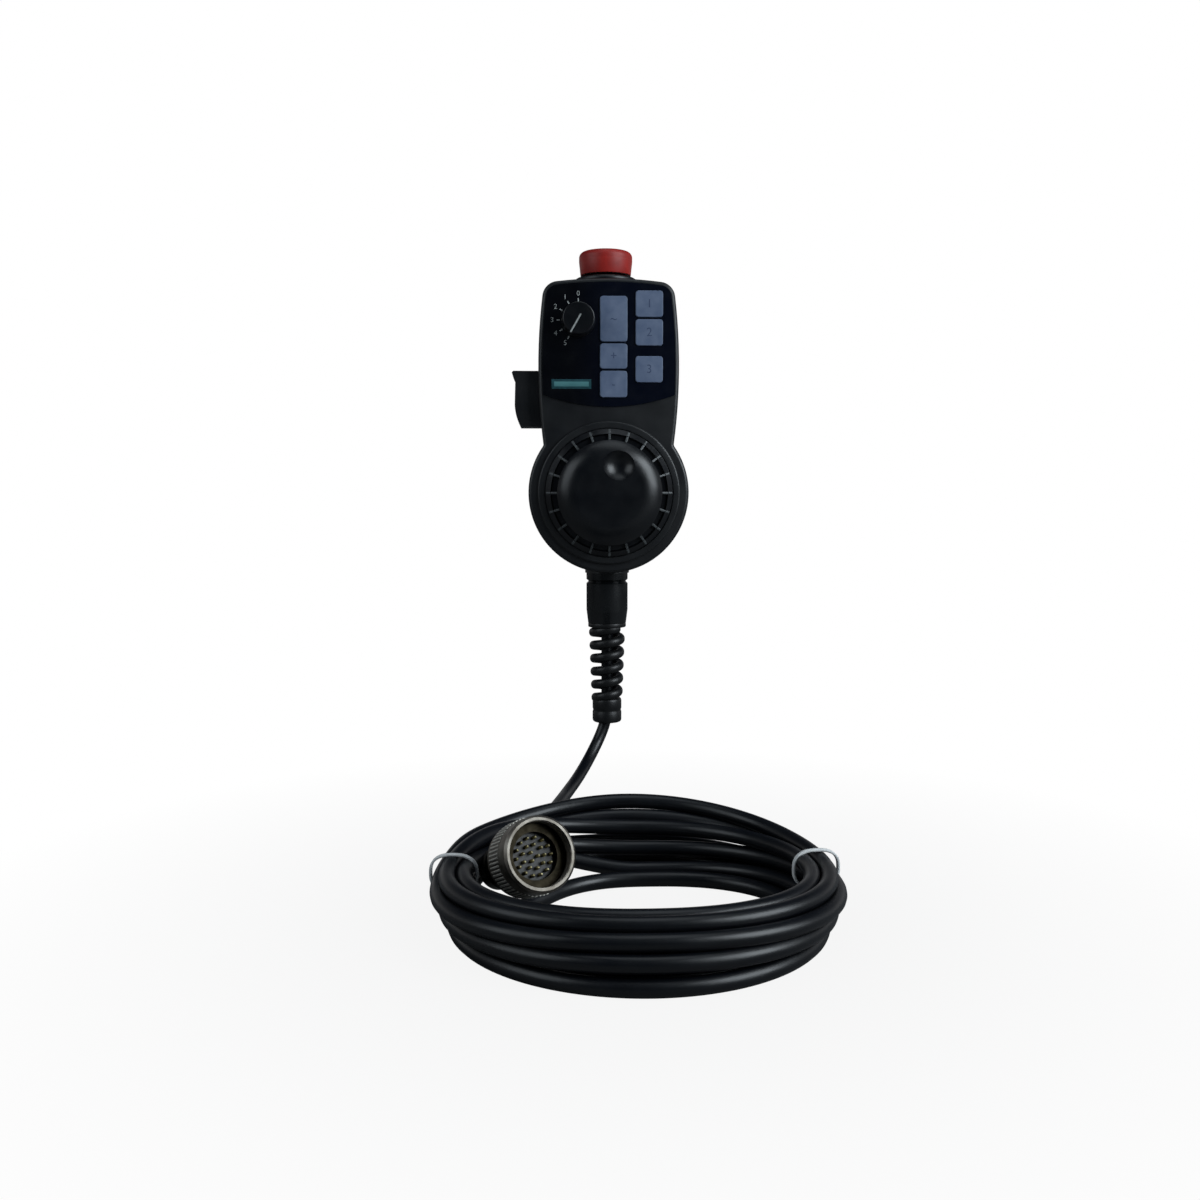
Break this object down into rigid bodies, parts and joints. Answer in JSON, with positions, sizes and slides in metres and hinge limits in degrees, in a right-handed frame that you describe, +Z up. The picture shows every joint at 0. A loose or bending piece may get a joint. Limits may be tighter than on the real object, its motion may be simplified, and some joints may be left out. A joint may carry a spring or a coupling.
{
  "type": "handheld control unit",
  "caption": "Handheld machine control unit with handwheel, selector, keys, enabling lever and emergency stop, on a coiled cable with a circular connector.",
  "frame": {"origin": "on the flat back of the rear cover, midway across and near the middle of the housing's height", "axes": "+Z up along the unit, +Y out of the flat back, the face looks along -Y, +X right seen from the face"},
  "size_m": [0.17, 0.358, 0.319],
  "materials": {
    "housing_plastic": "moulded charcoal plastic, fine texture",
    "panel_film": "dark blue-black film",
    "key_plastic": "pale slate key caps",
    "knob_plastic": "black satin plastic",
    "stop_red": "red moulded head",
    "collar_grey": "dark grey collar",
    "seal_rubber": "black seal rubber",
    "screw_steel": "plated steel",
    "shaft_steel": "ground steel",
    "switch_plastic": "dark switch plastic",
    "board_green": "green board",
    "dome_steel": "snap dome",
    "gland_plastic": "glossy black polyamide",
    "cable_pvc": "black cable jacket",
    "tie_nylon": "pale nylon tie",
    "connector_nickel": "satin nickel plate",
    "insert_plastic": "dark insert",
    "contact_metal": "plated contacts"
  },
  "bodies": {
    "housing": {"front_housing": "housing_plastic", "rear_cover": "housing_plastic", "wheel_bezel": "housing_plastic", "face_panel": "panel_film", "estop_collar": "collar_grey", "cover_seal": "seal_rubber", "gland_seal": "seal_rubber", "cover_screws": "screw_steel", "board_screws": "screw_steel", "encoder_screws": "screw_steel", "lever_pin": "screw_steel", "selector_nut": "screw_steel", "estop_nut": "screw_steel", "wheel_bearing": "shaft_steel", "holding_magnets": "shaft_steel", "selector_switch": "switch_plastic", "estop_contact_block": "switch_plastic", "enable_switch": "switch_plastic", "encoder": "switch_plastic", "gland_nut": "switch_plastic", "keypad_board": "board_green", "main_board": "board_green", "dome_switches": "dome_steel", "gland_body": "gland_plastic", "bend_protector": "gland_plastic", "cable_entry": "cable_pvc", "cable_lead": "cable_pvc", "cable_coil": "cable_pvc", "cable_tail": "cable_pvc", "tie_left": "tie_nylon", "tie_right": "tie_nylon", "connector_shell": "connector_nickel", "connector_clamp": "connector_nickel", "connector_insert": "insert_plastic", "connector_pins": "contact_metal"},
    "estop_stem": {"estop_plunger": "switch_plastic"},
    "estop_knob": {"estop_head": "stop_red"},
    "selector": {"selector_knob": "knob_plastic", "selector_shaft": "shaft_steel"},
    "wheel": {"handwheel": "knob_plastic", "wheel_shaft": "shaft_steel"},
    "lever": {"enable_lever": "housing_plastic"},
    "switch_plunger": {"enable_plunger": "switch_plastic"},
    "coupling_nut": {"connector_nut": "connector_nickel"},
    "key_rapid_cap": {"key_rapid": "key_plastic"},
    "key_plus_cap": {"key_plus": "key_plastic"},
    "key_minus_cap": {"key_minus": "key_plastic"},
    "key_one_cap": {"key_one": "key_plastic"},
    "key_two_cap": {"key_two": "key_plastic"},
    "key_three_cap": {"key_three": "key_plastic"}
  },
  "joints": [
    {"name": "estop_press", "type": "slide", "parent": "housing", "child": "estop_stem", "axis": [0, 0, -1], "range_m": [0, 0.004], "stiffness_N_per_m": 1500},
    {"name": "estop_twist", "type": "hinge", "parent": "estop_stem", "child": "estop_knob", "pos_m": [-0.0009, -0.021, 0.0925], "axis": [0, 0, -1], "range_deg": [0, 45], "stiffness_Nm_per_rad": 0.15},
    {"name": "selector_turn", "type": "hinge", "parent": "housing", "child": "selector", "pos_m": [-0.018, -0.0448, 0.0603], "axis": [0, -1, 0], "range_deg": [-150, 0]},
    {"name": "wheel_spin", "type": "hinge", "parent": "housing", "child": "wheel", "pos_m": [0, -0.044, -0.0398], "axis": [0, -1, 0], "continuous": true},
    {"name": "lever_swing", "type": "hinge", "parent": "housing", "child": "lever", "pos_m": [-0.0356, -0.025, 0.0036], "axis": [0, 1, 0], "range_deg": [0, 8], "stiffness_Nm_per_rad": 0.6},
    {"name": "switch_press", "type": "slide", "parent": "housing", "child": "switch_plunger", "axis": [1, 0, 0], "range_m": [0, 0.0034]},
    {"name": "nut_spin", "type": "hinge", "parent": "housing", "child": "coupling_nut", "pos_m": [-0.0396, -0.2876, -0.182], "axis": [0.3992, -0.8294, 0.3907], "continuous": true},
    {"name": "key_rapid_press", "type": "slide", "parent": "housing", "child": "key_rapid_cap", "axis": [0, 1, 0], "range_m": [0, 0.0006], "stiffness_N_per_m": 600},
    {"name": "key_plus_press", "type": "slide", "parent": "housing", "child": "key_plus_cap", "axis": [0, 1, 0], "range_m": [0, 0.0006], "stiffness_N_per_m": 600},
    {"name": "key_minus_press", "type": "slide", "parent": "housing", "child": "key_minus_cap", "axis": [0, 1, 0], "range_m": [0, 0.0006], "stiffness_N_per_m": 600},
    {"name": "key_one_press", "type": "slide", "parent": "housing", "child": "key_one_cap", "axis": [0, 1, 0], "range_m": [0, 0.0006], "stiffness_N_per_m": 600},
    {"name": "key_two_press", "type": "slide", "parent": "housing", "child": "key_two_cap", "axis": [0, 1, 0], "range_m": [0, 0.0006], "stiffness_N_per_m": 600},
    {"name": "key_three_press", "type": "slide", "parent": "housing", "child": "key_three_cap", "axis": [0, 1, 0], "range_m": [0, 0.0006], "stiffness_N_per_m": 600}
  ],
  "couplings": [
    {"joint": "switch_press", "follows": "lever_swing", "m_per_rad": 0.0225}
  ]
}
